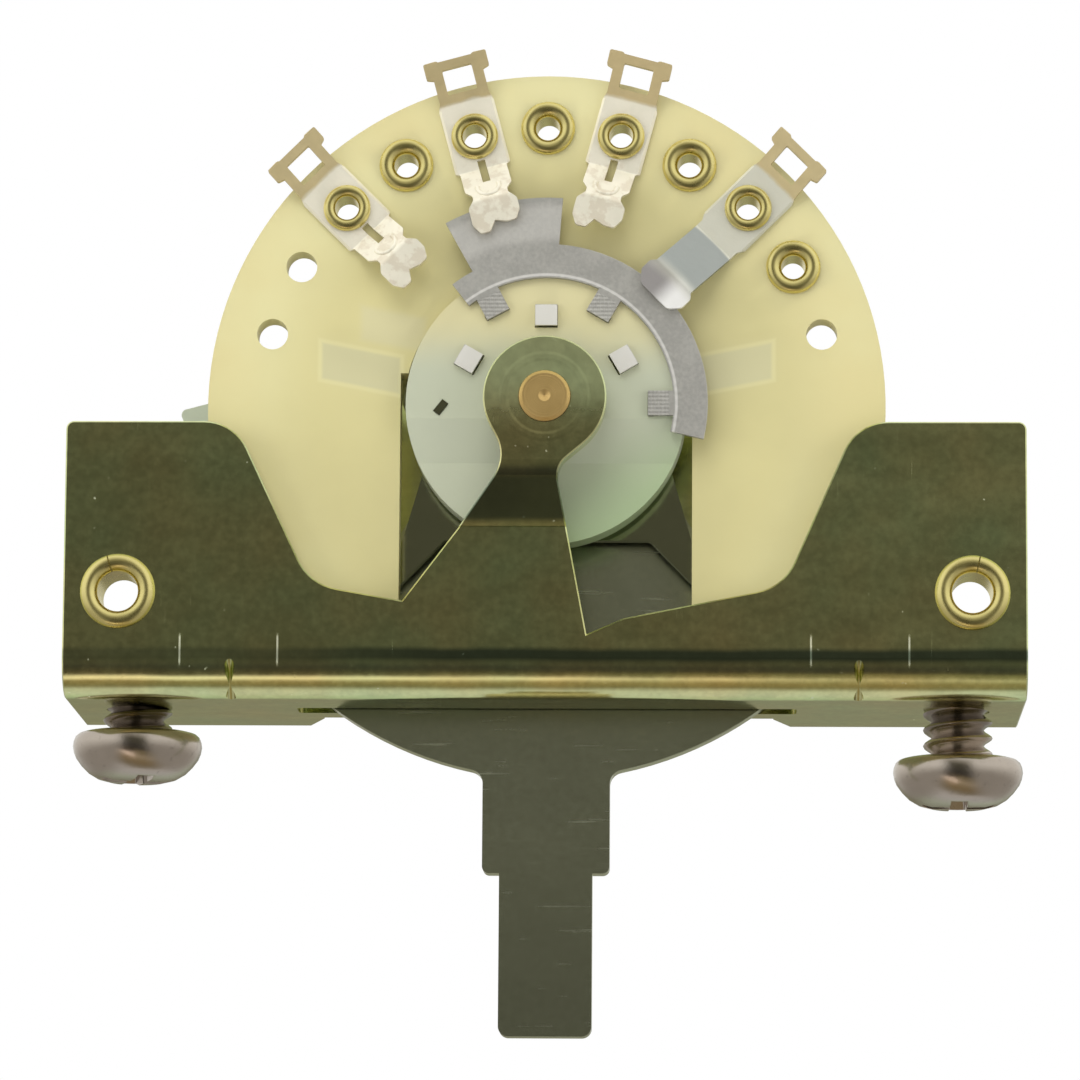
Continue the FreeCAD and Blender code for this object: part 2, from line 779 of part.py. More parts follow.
def lever():
    sector = disc(sector_radius, lever_front, lever_rear)
    x, z = polar(30, 180 - sector_half_angle)
    wedge = plate([(-2.6, 2), (2.6, 2), (x, z), (-x, z)], lever_front, lever_rear)
    body = about_pivot(sector.common(wedge), 0)
    hub = disc(lever_hub_radius, lever_front, lever_rear, 0, pivot_height)
    shank = plate(
        [(-shank_half, 0), (shank_half, 0), (shank_half, -shank_end, 0.35), (-shank_half, -shank_end, 0.35)],
        lever_front, lever_rear,
    )
    blade = plate(
        [(-blade_half, 0), (blade_half, 0), (blade_half, -blade_end, 0.5), (-blade_half, -blade_end, 0.5)],
        lever_front, lever_rear,
    )
    body = join(body, hub, shank, blade)
    rim = pivot_height - math.sqrt(sector_radius ** 2 - shank_half ** 2)
    corners = []
    for edge in body.Edges:
        middle = edge.valueAt((edge.FirstParameter + edge.LastParameter) / 2)
        through = abs(edge.tangentAt(edge.FirstParameter).y) > 0.9
        if through and abs(abs(middle.x) - shank_half) < 0.01 and abs(middle.z - rim) < 0.01:
            corners.append(edge)
    body = body.makeFillet(0.7, corners)
    cuts = [about_pivot(double_flat(bush_spigot_radius + seat_gap, spigot_half_flat + seat_gap, -9, 9), 0)]
    for side in (-1, 1):
        hole = disc(rivet_shank + seat_gap, -9, 9, side * rivet_half_spacing, pivot_height + rivet_height)
        cuts.append(hole)
    return body.cut(cuts[0].multiFuse(cuts[1:]))


def lever_bush():
    spigot = double_flat(bush_spigot_radius, spigot_half_flat, driver_front, lever_rear)
    pieces = [
        disc(bush_spigot_radius + 0.15, driver_front - 0.3, driver_front),
        disc(bush_flange_radius, driver_rear, lever_front),
        disc(bush_spigot_radius + 0.15, lever_rear, lever_rear + 0.3),
        disc(bush_collar_radius, lever_rear, rear_inside - side_gap),
    ]
    bush = join(spigot, *pieces).cut(disc(axle_radius + running_gap, -9, 9))
    return about_pivot(bush, 0)


def index_spring():
    """A leaf riveted to the back of the lever; its bump drops into one of three holes in the rear wall."""
    near = lever_rear
    flat = rear_inside - 0.3 - index_sheet
    path = [
        (near, 6.0),
        (near, 1.0),
        (flat, -3.9),
        (flat, -6.8),
    ]
    leaf = beam(folded_strip(path, index_sheet, 0.4), -5, 5)
    outline = [
        (-3.4, 5.4, 1.1),
        (3.4, 5.4, 1.1),
        (4.2, 0, 2.0),
        (1.5, -6.5, 1.3),
        (-1.5, -6.5, 1.3),
        (-4.2, 0, 2.0),
    ]
    leaf = leaf.common(plate(outline, -9, 9))
    window = [
        (-2.6, 2.7, 1.4),
        (2.6, 2.7, 1.4),
        (2.6, -1.2, 1.0),
        (1.0, -3.2, 0.6),
        (-1.0, -3.2, 0.6),
        (-2.6, -1.2, 1.0),
    ]
    leaf = leaf.cut(plate(window, -9, 9))
    centre = Vector(0, rear_inside - 0.55, -index_radius)
    dome = Part.makeSphere(0.8, centre).common(block(-2, 2, flat + index_sheet, 9, -8, -3))
    hollow = Part.makeSphere(0.5, centre)
    leaf = leaf.fuse(dome).removeSplitter().cut(hollow)
    for side in (-1, 1):
        leaf = leaf.cut(disc(rivet_shank + seat_gap, -9, 9, side * rivet_half_spacing, rivet_height))
    return about_pivot(leaf, 0)


def index_rivets():
    rear_seat = lever_rear + index_sheet
    profile = [
        (0, lever_front - 0.45),
        (0.75, lever_front - 0.45, 0.4),
        (rivet_head, lever_front - 0.12, 0.15),
        (rivet_head, lever_front),
        (rivet_shank, lever_front),
        (rivet_shank, rear_seat),
        (1.1, rear_seat),
        (1.1, rear_seat + 0.3, 0.2),
        (0, rear_seat + 0.3),
    ]
    height = pivot_height + rivet_height
    return Part.makeCompound([turned(profile, side * rivet_half_spacing, height) for side in (-1, 1)])


def axle():
    profile = [
        (0, hub_front - 0.12),
        (0.3, hub_front - 0.25),
        (axle_end_radius - 0.16, hub_front - 0.25),
        (axle_end_radius, hub_front - 0.09),
        (axle_end_radius, hub_rear),
        (axle_radius, hub_rear),
        (axle_radius, rear_inside),
        (axle_end_radius, rear_inside),
        (axle_end_radius, screw_line_to_rear_wall),
        (1.9, screw_line_to_rear_wall),
        (1.9, screw_line_to_rear_wall + 0.45, 0.3),
        (0, screw_line_to_rear_wall + 0.45),
    ]
    return turned(profile, 0, pivot_height)


# Mounting screws

def cross_arm(half_length, half_width, floor_length, floor_width, mouth, floor):
    """One tapering slot of a cross recess, from the head's face to its floor."""
    wires = []
    for length, width, height in ((half_length, half_width, mouth), (floor_length, floor_width, floor)):
        corners = [(-length, -width), (length, -width), (length, width), (-length, width)]
        corners = [Vector(x, y, height) for x, y in corners]
        wires.append(Part.makePolygon(corners + corners[:1]))
    return Part.makeLoft(wires, True, True)


def mounting_screw(x, out, turn):
    """Pan head with a cross recess. Bare shank at full thread size outside, at pitch size in its hole."""
    radius, face = screw_head_radius, -out
    bottom = face - screw_head_height
    profile = [
        (0, bottom),
        (2.2, bottom, 1.0),
        (radius - 0.1, face - 1.35, 1.2),
        (radius, face - 0.45, 0.3),
        (radius - 0.35, face, 0.1),
        (thread_radius, face),
        (thread_radius, -0.05),
        (thread_pitch_radius, -0.05),
        (thread_pitch_radius, face + screw_length - 0.5),
        (thread_pitch_radius - 0.45, face + screw_length),
        (0, face + screw_length),
    ]
    screw = turned(profile)
    screw.rotate(Vector(0, 0, 0), Vector(1, 0, 0), 90)
    recess = cross_arm(1.95, 0.42, 0.75, 0.2, bottom - 0.01, bottom + 1.6)
    other = recess.copy()
    other.rotate(Vector(0, 0, 0), Vector(0, 0, 1), 90)
    recess = recess.fuse(other)
    screw = screw.cut(recess)
    screw.rotate(Vector(0, 0, 0), Vector(0, 0, 1), turn)
    screw.translate(Vector(x, 0, 0))
    return screw


def main():
    os.makedirs("parts", exist_ok=True)
    nodes = {
        "mounting_frame": mounting_frame(),
        "stator_wafer": stator_wafer(),
        "lug_eyelets": lug_eyelets(),
        "frame_eyelets": frame_eyelets(),
        "rotor": rotor(),
        "front_contact_blade": front_contact_blade(),
        "rear_contact_blade": rear_contact_blade(),
        "rotor_driver": rotor_driver(),
        "lever": lever(),
        "lever_bush": lever_bush(),
        "index_spring": index_spring(),
        "index_rivets": index_rivets(),
        "axle": axle(),
        "left_mounting_screw": mounting_screw(-screw_x, left_screw_out, 20),
        "right_mounting_screw": mounting_screw(screw_x, right_screw_out, 0),
    }
    front, rear = lug_angles()
    for name, step in front.items():
        nodes[name] = lug("common" not in name, True, step * lug_step)
    for name, step in rear.items():
        nodes[name] = lug("common" not in name, False, step * lug_step)
    for name, shape in nodes.items():
        print(name, shape.isValid(), len(shape.Solids), round(shape.Volume, 2))
        shape.exportStep("parts/" + name + ".step")


main()
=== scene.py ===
"""Finishes a guitar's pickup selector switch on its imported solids: plating, laminate, brass and
nylon, turned screw threads, knurled blade tabs and scribed marks, then a plain studio. Blender's
lengths are in metres. Numbers here are in millimetres, and times MM where Blender takes a length."""
import math

import bpy
from bpy.props import FloatProperty, FloatVectorProperty, PointerProperty
from mathutils import Matrix, Vector


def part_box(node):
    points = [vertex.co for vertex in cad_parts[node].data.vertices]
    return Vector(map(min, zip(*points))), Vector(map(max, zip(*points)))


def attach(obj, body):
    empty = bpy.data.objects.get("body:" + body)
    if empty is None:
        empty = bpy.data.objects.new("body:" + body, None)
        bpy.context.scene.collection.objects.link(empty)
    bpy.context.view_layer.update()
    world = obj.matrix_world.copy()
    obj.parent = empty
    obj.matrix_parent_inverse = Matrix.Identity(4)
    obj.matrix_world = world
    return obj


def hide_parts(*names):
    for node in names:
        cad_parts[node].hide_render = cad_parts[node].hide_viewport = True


bl_info = {
    "name": "Pickup Switch Finish",
    "version": (1, 0, 0),
    "blender": (4, 5, 0),
    "location": "3D View > Sidebar > Switch",
    "description": "Dresses an open-frame lever switch with plating, threads and a studio",
    "category": "Object",
}

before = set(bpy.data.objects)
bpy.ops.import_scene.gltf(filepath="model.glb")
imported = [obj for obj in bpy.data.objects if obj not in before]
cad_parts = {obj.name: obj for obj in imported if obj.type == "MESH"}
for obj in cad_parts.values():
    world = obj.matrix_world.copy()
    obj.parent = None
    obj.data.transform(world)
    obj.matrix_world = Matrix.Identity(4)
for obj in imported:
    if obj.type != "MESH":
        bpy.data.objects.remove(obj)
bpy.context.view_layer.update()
MM = 0.001
PIVOT_HEIGHT = 14.75  # The axle's line above the flange's underside
WELD_DISTANCE = 0.0004
LATHE_STEPS = 72
THREAD_STEPS = 8  # Points of the thread's profile in one pitch
SMOOTH_ANGLE = math.radians(32)
BEVEL_ANGLE = math.radians(40)
RECESS_TURNS = {"left_mounting_screw": 20.0, "right_mounting_screw": 0.0}  # Degrees
SCRIBED_OUTER, SCRIBED_INNER = 18.05, 13.2  # From the frame's middle
BAR_TILT = 0.2
KNURL_PITCH, KNURL_DOTS = 16.0, 90.0  # Radians a millimetre, and a radian round
FLOOR_HEIGHT = -60
SENSOR_WIDTH = 36.0


# Shader helpers

class Wire:
    """A node socket that takes part in Python arithmetic, so that an expression adds its Math nodes."""

    def __init__(self, tree, socket):
        self.tree = tree
        self.socket = socket

    def node(self, kind, settings=None, **inputs):
        """A new node: its settings first, then its sockets' values or links. Gives its first output."""
        made = self.tree.nodes.new("ShaderNode" + kind)
        for name, value in (settings or {}).items():
            if name == "stops":
                ramp = made.color_ramp.elements
                ramp[0].position, ramp[1].position = value[0][0], value[-1][0]
                for stop in value[1:-1]:
                    ramp.new(stop[0])
                for stop, (place, colour) in zip(ramp, value):
                    stop.color = (*colour, 1)
            else:
                setattr(made, name, value)
        for name, value in inputs.items():
            key = int(name[1:]) if name[1:].isdigit() else name.replace("_", " ")
            if isinstance(value, Wire):
                self.tree.links.new(value.socket, made.inputs[key])
            else:
                made.inputs[key].default_value = value
        return Wire(self.tree, made.outputs[0])

    def out(self, name):
        return Wire(self.tree, self.socket.node.outputs[name])

    def maths(self, operation, first, second=0.0):
        return self.node("Math", {"operation": operation}, i0=first, i1=second)

    def __add__(self, other):
        return self.maths("ADD", self, other)

    def __sub__(self, other):
        return self.maths("SUBTRACT", self, other)

    def __rsub__(self, other):
        return self.maths("SUBTRACT", other, self)

    def __mul__(self, other):
        return self.maths("MULTIPLY", self, other)

    def __pow__(self, other):
        return self.maths("POWER", self, other)

    def __abs__(self):
        return self.maths("ABSOLUTE", self)

    __radd__ = __add__
    __rmul__ = __mul__

    def larger(self, other):
        return self.maths("MAXIMUM", self, other)

    def smaller(self, other):
        return self.maths("MINIMUM", self, other)

    def sine(self):
        return self.maths("SINE", self)

    def angle(self, other):
        """The angle in radians whose tangent is this value over the other."""
        return self.maths("ARCTAN2", self, other)

    def in_mm(self, axes):
        """The named axes of these coordinates, in millimetres."""
        parts = self.node("SeparateXYZ", None, Vector=self)
        return [parts.out(axis) * (1.0 / MM) for axis in axes]

    def steps(self, low, high, start=0.0, end=1.0):
        """Smoothly from start to end as this value goes from low to high."""
        settings = {"interpolation_type": "SMOOTHSTEP"}
        return self.node(
            "MapRange", settings,
            Value=self, From_Min=low, From_Max=high, To_Min=start, To_Max=end,
        )

    def noise(self, scale, detail=2.0, roughness=0.5, stretch=(1, 1, 1)):
        """Noise between 0 and 1 on these coordinates, with scale in lumps per millimetre."""
        place = self.node("VectorMath", {"operation": "MULTIPLY"}, i0=self, i1=stretch)
        return place.node(
            "TexNoise", None,
            Vector=place, Scale=scale / MM, Detail=detail, Roughness=roughness,
        )

    def blend(self, first, second):
        """One colour over another, with this value as the share of the second."""
        made = self.tree.nodes.new("ShaderNodeMix")
        made.data_type = "RGBA"
        self.tree.links.new(self.socket, made.inputs[0])
        for place, colour in ((6, first), (7, second)):
            if isinstance(colour, Wire):
                self.tree.links.new(colour.socket, made.inputs[place])
            else:
                made.inputs[place].default_value = (*colour, 1)
        return Wire(self.tree, made.outputs[2])


def new_material(name):
    """A material with a Principled shader: the material, that shader and its object coordinates."""
    material = bpy.data.materials.new(name)
    material.use_nodes = True
    tree = material.node_tree
    shader = tree.nodes["Principled BSDF"]
    start = Wire(tree, shader.outputs[0])
    place = start.node("TexCoord").out("Object")
    return material, shader, place


def feed(shader, name, value):
    """A link or a plain value into one of the shader's sockets."""
    if isinstance(value, Wire):
        value.tree.links.new(value.socket, shader.inputs[name])
    else:
        shader.inputs[name].default_value = value


def bump(place, height, distance):
    """A Normal for a height, with the distance in millimetres that a height of 1 stands for."""
    return place.node("Bump", None, Height=height, Distance=distance * MM)


def from_pivot(place):
    """Distances across and up from the axle's line, in millimetres."""
    across, height = place.in_mm("XZ")
    return across, height - PIVOT_HEIGHT


def radius_from_pivot(place):
    """Distance from the axle's line, in millimetres."""
    across, up = from_pivot(place)
    return (across * across + up * up) ** 0.5


def assign(material, *nodes):
    """Puts a material in the slots of CAD nodes."""
    for name in nodes:
        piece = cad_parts[name]
        for slot in piece.material_slots:
            slot.material = material


# Settings

class PlatingSettings(bpy.types.PropertyGroup):
    """Colours of the plated steel."""

    frame_tint: FloatVectorProperty(
        name="Frame plating", description="Yellow zinc plating of the folded frame",
        subtype="COLOR", size=3, min=0, max=1, default=(0.80, 0.83, 0.48),
    )
    lever_tint: FloatVectorProperty(
        name="Lever plating", description="Greyer zinc plating of the lever",
        subtype="COLOR", size=3, min=0, max=1, default=(0.72, 0.76, 0.6),
    )
    driver_tint: FloatVectorProperty(
        name="Driver plating", description="Bright zinc plating of the plate behind the rotor",
        subtype="COLOR", size=3, min=0, max=1, default=(0.50, 0.52, 0.36),
    )
    mottle: FloatProperty(
        name="Mottle", description="How strongly the plating's tint wanders",
        min=0, max=1, default=0.35, subtype="FACTOR",
    )


class ContactSettings(bpy.types.PropertyGroup):
    """Colours of the wafer, rotor and contacts."""

    board: FloatVectorProperty(
        name="Wafer board", description="Pale laminate of the wafer",
        subtype="COLOR", size=3, min=0, max=1, default=(0.74, 0.69, 0.37),
    )
    nylon: FloatVectorProperty(
        name="Rotor nylon", description="Milky nylon of the rotor",
        subtype="COLOR", size=3, min=0, max=1, default=(0.59, 0.62, 0.46),
    )
    silver: FloatVectorProperty(
        name="Silver plate", description="Silver plate of lugs and blades",
        subtype="COLOR", size=3, min=0, max=1, default=(0.95, 0.89, 0.74),
    )
    tarnish: FloatVectorProperty(
        name="Tarnish", description="Tan tarnish at the solder ends",
        subtype="COLOR", size=3, min=0, max=1, default=(0.64, 0.53, 0.29),
    )
    brass: FloatVectorProperty(
        name="Brass", description="Hollow rivets and axle",
        subtype="COLOR", size=3, min=0, max=1, default=(0.81, 0.71, 0.29),
    )


class ScrewSettings(bpy.types.PropertyGroup):
    """Sizes and colour of the mounting screws."""

    major_radius: FloatProperty(
        name="Thread radius", description="Outside radius of the 6-32 thread",
        default=1.745 * MM, min=0, unit="LENGTH", precision=5,
    )
    minor_radius: FloatProperty(
        name="Root radius", description="Radius at the thread's root",
        default=1.3 * MM, min=0, unit="LENGTH", precision=5,
    )
    pitch: FloatProperty(
        name="Pitch", description="Distance from one thread turn to the next",
        default=25.4 / 32 * MM, min=0, unit="LENGTH", precision=5,
    )
    head_radius: FloatProperty(
        name="Head radius", description="Radius of the pan head",
        default=3.25 * MM, min=0, unit="LENGTH", precision=5,
    )
    head_height: FloatProperty(
        name="Head height", description="From the crown to the seating face",
        default=2.48 * MM, min=0, unit="LENGTH", precision=5,
    )
    recess_depth: FloatProperty(
        name="Recess depth", description="Depth of the cross recess",
        default=1.6 * MM, min=0, unit="LENGTH", precision=5,
    )
    steel: FloatVectorProperty(
        name="Screw nickel", description="Dull nickel plate of the screws",
        subtype="COLOR", size=3, min=0, max=1, default=(0.50, 0.44, 0.38),
    )


class StudioSettings(bpy.types.PropertyGroup):
    """Camera and lamps."""

    lens: FloatProperty(
        name="Lens", description="Focal length in millimetres", default=198.72, unit="CAMERA"
    )
    distance: FloatProperty(
        name="Distance", description="From the camera to the point it aims at",
        default=295.6 * MM, unit="LENGTH", precision=4,
    )
    azimuth: FloatProperty(
        name="Azimuth", description="Turned towards +X",
        default=math.radians(1.844), subtype="ANGLE",
    )
    elevation: FloatProperty(
        name="Elevation", description="Below the frame when negative",
        default=math.radians(-9.259), subtype="ANGLE",
    )
    roll: FloatProperty(
        name="Roll", description="Camera's roll", default=math.radians(0.396), subtype="ANGLE"
    )
    key_power: FloatProperty(
        name="Key power", description="Power of the soft boxes", default=0.9, unit="POWER"
    )


# Modelling helpers

def revolve(name, profile, rise=0.0):
    """A new piece: a profile of (radius, height) points in millimetres, turned once about Z, with a
    rise in that turn that makes it a screw."""
    bpy.ops.object.select_all(action="DESELECT")
    bpy.ops.object.add(type="MESH")
    piece = bpy.context.object
    piece.name = name
    corners = [(radius * MM, 0, height * MM) for radius, height in profile]
    piece.data.from_pydata(corners, [(i, i + 1) for i in range(len(corners) - 1)], [])
    bpy.ops.object.modifier_add(type="SCREW")
    lathe = piece.modifiers[-1]
    lathe.axis = "Z"
    lathe.steps = lathe.render_steps = LATHE_STEPS
    lathe.screw_offset = rise * MM
    bpy.ops.object.modifier_apply(modifier=lathe.name)
    weld(piece)
    return piece


def weld(piece):
    """Joins coincident points and turns the faces outward."""
    bpy.context.view_layer.objects.active = piece
    bpy.ops.object.mode_set(mode="EDIT")
    bpy.ops.mesh.select_all(action="SELECT")
    bpy.ops.mesh.remove_doubles(threshold=WELD_DISTANCE * MM)
    bpy.ops.mesh.dissolve_degenerate(threshold=WELD_DISTANCE * MM)
    bpy.ops.mesh.normals_make_consistent(inside=False)
    bpy.ops.object.mode_set(mode="OBJECT")


def carve(piece, cutter):
    """Takes the cutter's shape out of the piece, and removes the cutter."""
    bpy.ops.object.select_all(action="DESELECT")
    bpy.context.view_layer.objects.active = piece
    bpy.ops.object.modifier_add(type="BOOLEAN")
    cut = piece.modifiers[-1]
    cut.operation = "DIFFERENCE"
    cut.solver = "EXACT"
    cut.object = cutter
    bpy.ops.object.modifier_apply(modifier=cut.name)
    cutter.select_set(True)
    bpy.ops.object.delete()


# Screws

class SWITCH_OT_thread_screws(bpy.types.Operator):
    """Makes the two mounting screws, with their cross recesses and rolled threads"""

    bl_idname = "switch.thread_screws"
    bl_label = "Thread the screws"

    def execute(self, context):
        settings = context.scene.switch_screws
        material = self.dull_nickel(settings)
        for node, turn in RECESS_TURNS.items():
            low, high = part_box(node)
            screw = self.head(settings)
            self.add_thread(settings, screw, (high.z - low.z) / MM)
            place = Vector(((low.x + high.x) / 2, (low.y + high.y) / 2, low.z))
            turned = Matrix.Rotation(math.radians(turn), 4, "Z")
            screw.data.transform(Matrix.Translation(place) @ turned)
            screw.name = node + "_threaded"
            screw.data.materials.clear()
            screw.data.materials.append(material)
            bpy.ops.object.select_all(action="DESELECT")
            screw.select_set(True)
            bpy.context.view_layer.objects.active = screw
            bpy.ops.object.shade_smooth_by_angle(angle=SMOOTH_ANGLE)
            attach(screw, "frame")
            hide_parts(node)
        return {"FINISHED"}

    def head(self, settings):
        """A pan head standing on its crown, with a cross recess."""
        radius, height = settings.head_radius / MM, settings.head_height / MM
        crown = [(0.0, 0.0), (1.4, 0.04), (2.0, 0.2), (2.45, 0.47), (2.8, 0.82)]
        side = [(radius - 0.17, 1.2), (radius - 0.05, 1.5), (radius, 1.8), (radius - 0.03, 2.05)]
        rim = [(radius - 0.12, height - 0.2), (radius - 0.28, height - 0.06)]
        seat = [(radius - 0.5, height), (1.0, height), (0.0, height)]
        head = revolve("screw_head", crown + side + rim + seat)
        for turn in (0.0, 90.0):
            carve(head, self.recess_arm(settings, turn))
        bpy.ops.object.modifier_add(type="BEVEL")
        bevel = head.modifiers[-1]
        bevel.width = 0.045 * MM
        bevel.segments = 2
        bevel.limit_method = "ANGLE"
        bevel.angle_limit = BEVEL_ANGLE
        bpy.ops.object.modifier_apply(modifier=bevel.name)
        return head

    def recess_arm(self, settings, turn):
        """One tapering slot of the recess, from just outside the crown to the recess's floor."""
        bpy.ops.object.select_all(action="DESELECT")
        bpy.ops.mesh.primitive_cube_add(size=1.0)
        arm = bpy.context.object
        mouth = (2.05, 0.45, -0.15)
        bottom = (0.75, 0.2, settings.recess_depth / MM)
        for point in arm.data.vertices:
            length, width, height = mouth if point.co.z < 0 else bottom
            x, y = math.copysign(length, point.co.x), math.copysign(width, point.co.y)
            point.co = Vector((x, y, height)) * MM
        arm.data.transform(Matrix.Rotation(math.radians(turn), 4, "Z"))
        return arm

    def add_thread(self, settings, screw, length):
        """A solid core with one continuous rolled thread, from the head to a chamfered tip."""
        pitch = settings.pitch / MM
        major, minor = settings.major_radius / MM, settings.minor_radius / MM
        start = settings.head_height / MM - pitch - 0.1
        turns = int((length - start) / pitch) + 1
        profile = []
        for step in range(THREAD_STEPS * turns + 1):
            crest = 0.5 - 0.5 * math.cos(math.tau * step / THREAD_STEPS)
            radius = minor + (major - minor) * crest ** 0.8
            profile.append((radius, start + step * pitch / THREAD_STEPS))
        thread = revolve("screw_thread", profile, pitch)
        tip_radius = minor - 0.12
        for point in thread.data.vertices:
            radius = math.hypot(point.co.x, point.co.y) / MM
            height = min(point.co.z / MM, length)
            share = min(radius, tip_radius + length - height) / radius
            point.co = Vector((point.co.x * share, point.co.y * share, height * MM))
        weld(thread)
        core_radius, foot, tip = minor - 0.05, 1.9, length - 0.01
        shank = [(0.0, foot), (core_radius, foot), (core_radius, length - 0.1)]
        core = revolve("screw_core", shank + [(tip_radius, tip), (0.0, tip)])
        bpy.ops.object.select_all(action="DESELECT")
        for piece in (thread, core, screw):
            piece.select_set(True)
        bpy.context.view_layer.objects.active = screw
        bpy.ops.object.join()

    def dull_nickel(self, settings):
        """Worn nickel plate, with random dark speckle and painted shade on the shanks above the left
        screw's seat, under the flange.
        """
        material, shader, place = new_material("dull_nickel")
        tint = Vector(settings.steel)
        cloud = place.noise(0.5, 3.0)
        grain = place.noise(3.0, 3.0, 0.6)
        colour = cloud.blend(tuple(tint * 0.86), tuple(tint * 1.12))
        seat = (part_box("left_mounting_screw")[0].z + settings.head_height) / MM
        height = place.in_mm("Z")[0]
        # Painted shade: the shanks darken above the left screw's seat, under the flange; random dark
        # speckle is added to it.
        flange_shade_and_speckle = height.steps(seat, seat + 0.3, 0.0, 0.8) + grain.steps(0.6, 0.75, 0.0, 0.4)
        feed(shader, "Base Color", flange_shade_and_speckle.blend(colour, tuple(tint * 0.5)))
        feed(shader, "Metallic", 1.0)
        feed(shader, "Roughness", grain * 0.16 + 0.14)
        feed(shader, "Normal", bump(place, grain * 0.4 + cloud, 0.012))
        return material


# Finishes on the CAD nodes

class SWITCH_OT_plate_steel(bpy.types.Operator):
    """Plates the frame, the lever and the rotor's driver"""

    bl_idname = "switch.plate_steel"
    bl_label = "Plate the steel"

    def execute(self, context):
        settings = context.scene.switch_plating
        assign(self.frame_plating(settings), "mounting_frame")
        assign(self.lever_plating(settings), "lever")
        assign(self.driver_plating(settings), "rotor_driver")
        return {"FINISHED"}

    def frame_plating(self, settings):
        """Yellow zinc whose tint wanders, with worn flecks, a rubbed hub, a tinned earth tab and
        painted dark reflections in bands above the bend and on the joggle.
        """
        material, shader, place = new_material("yellow_zinc_plating")
        bright_steel, rubbed_zinc, tin = (0.95, 0.93, 0.8), (0.80, 0.9, 0.52), (0.6, 0.66, 0.52)
        tint = Vector(settings.frame_tint)
        x, y, z = place.in_mm("XYZ")
        cloud = place.noise(0.16, 3.0)
        share = (cloud - 0.5) * settings.mottle * 6.0 + 0.5
        green = (tint.x * 0.86, tint.y, tint.z * 0.95)
        warm = (tint.x * 1.08, tint.y * 0.94, tint.z * 0.82)
        colour = share.blend(green, warm)
        dull = share.blend(tuple(Vector(green) * 0.82), tuple(Vector(warm) * 0.82))
        grain = place.noise(2.5, 3.0, 0.6)
        streak = place.noise(0.6, 3.0, 0.6, (0.7, 1, 1.4))
        colour = (grain * 0.6 + streak * 0.6 - 0.1).steps(0.3, 0.7).blend(dull, colour)
        fleck = place.noise(3.2, 1.0, 0.5).steps(0.76, 0.84)
        scratch = place.noise(0.9, 2.0, 0.6, (6.0, 6.0, 0.35)).steps(0.66, 0.8)
        scribed = self.scribed_lines(x, y, z)
        tinned = x.steps(-14.6, -15.6) * y.steps(2.8, 3.2) * z.steps(8.0, 10.5)
        worn = (fleck * 0.4).larger(scribed * 0.6)
        colour = worn.blend(colour, bright_steel)
        hub = y.steps(-6.9, -7.2) * z.steps(11.3, 11.8)
        colour = (hub * z.steps(13.0, 16.0) * 0.5).blend(colour, rubbed_zinc)
        # Painted dark reflection: darker bands above the bend and on the joggle.
        painted_dark_band = self.painted_dark_reflection_bands(x, z + (cloud - 0.5) * 0.3) * y.steps(-5.0, -5.5)
        colour = painted_dark_band.blend(colour, (tint.x * 0.2, tint.y * 0.25, tint.z * 0.3))
        feed(shader, "Base Color", tinned.blend(colour, tin))
        feed(shader, "Metallic", 1.0 - worn * 0.6 - tinned * 0.65)
        smooth = grain * 0.12 + 0.1 + scratch * 0.12 + worn * 0.3
        feed(shader, "Roughness", smooth + tinned * 0.22 + hub * z.steps(12.5, 15.5) * 0.22)
        rolled = place.noise(0.22, 2.0, 0.5, (0.5, 1, 1))
        height = rolled * 14.0 + grain * 0.16 - scratch * 0.12 + tinned * grain * 2.0
        height = height + self.staking_ring(radius_from_pivot(place), y) * 1.3
        feed(shader, "Normal", bump(place, height, 0.006))
        return material

    def painted_dark_reflection_bands(self, x, z):
        """Painted dark reflection in a band above the bend and one on the joggle, where the sheet bows.
        """
        bend = z.steps(1.5, 1.9) * z.steps(2.5, 2.15) * x.steps(-16.0, -4.0, 0.45, 0.95)
        joggle = z.steps(8.5, 8.9) * z.steps(11.5, 10.6) * abs(x).steps(6.0, 4.0) * 0.95
        return bend + joggle

    def scribed_lines(self, x, y, z):
        """Four short marks on the front wall, where the folding tool was set."""
        near = abs(abs(x) - SCRIBED_OUTER).smaller(abs(abs(x) - SCRIBED_INNER))
        length = z.steps(1.35, 1.7) * z.steps(3.15, 2.8)
        return near.steps(0.07, 0.02) * y.steps(-5.6, -5.8) * length

    def staking_ring(self, radius, y):
        """A shallow ring pressed into the hub round the axle's end."""
        return radius.steps(1.75, 1.95) * radius.steps(2.3, 2.1) * y.steps(-7.2, -7.35)

    def lever_plating(self, settings):
        """Greyer zinc, darker towards the blade's tip."""
        material, shader, place = new_material("rubbed_zinc_plating")
        tint = Vector(settings.lever_tint)
        z = place.in_mm("Z")[0]
        cloud = place.noise(0.25, 3.0)
        colour = cloud.blend(tuple(tint * 0.88), tuple(tint * 1.12))
        darker_to_tip = z.steps(-7.0, -15.5, 0.0, 0.45)
        feed(shader, "Base Color", (darker_to_tip + cloud * 0.3 - 0.1).blend(colour, tuple(tint * 0.66)))
        feed(shader, "Metallic", 1.0)
        grain = place.noise(3.0, 3.0, 0.6)
        scratch = place.noise(0.8, 2.0, 0.6, (0.3, 6.0, 6.0)).steps(0.62, 0.8)
        feed(shader, "Roughness", grain * 0.12 + 0.16 + scratch * 0.2)
        rolled = place.noise(0.2, 2.0, 0.5)
        feed(shader, "Normal", bump(place, rolled * 12.0 + grain * 0.12 - scratch * 0.12, 0.005))
        return material

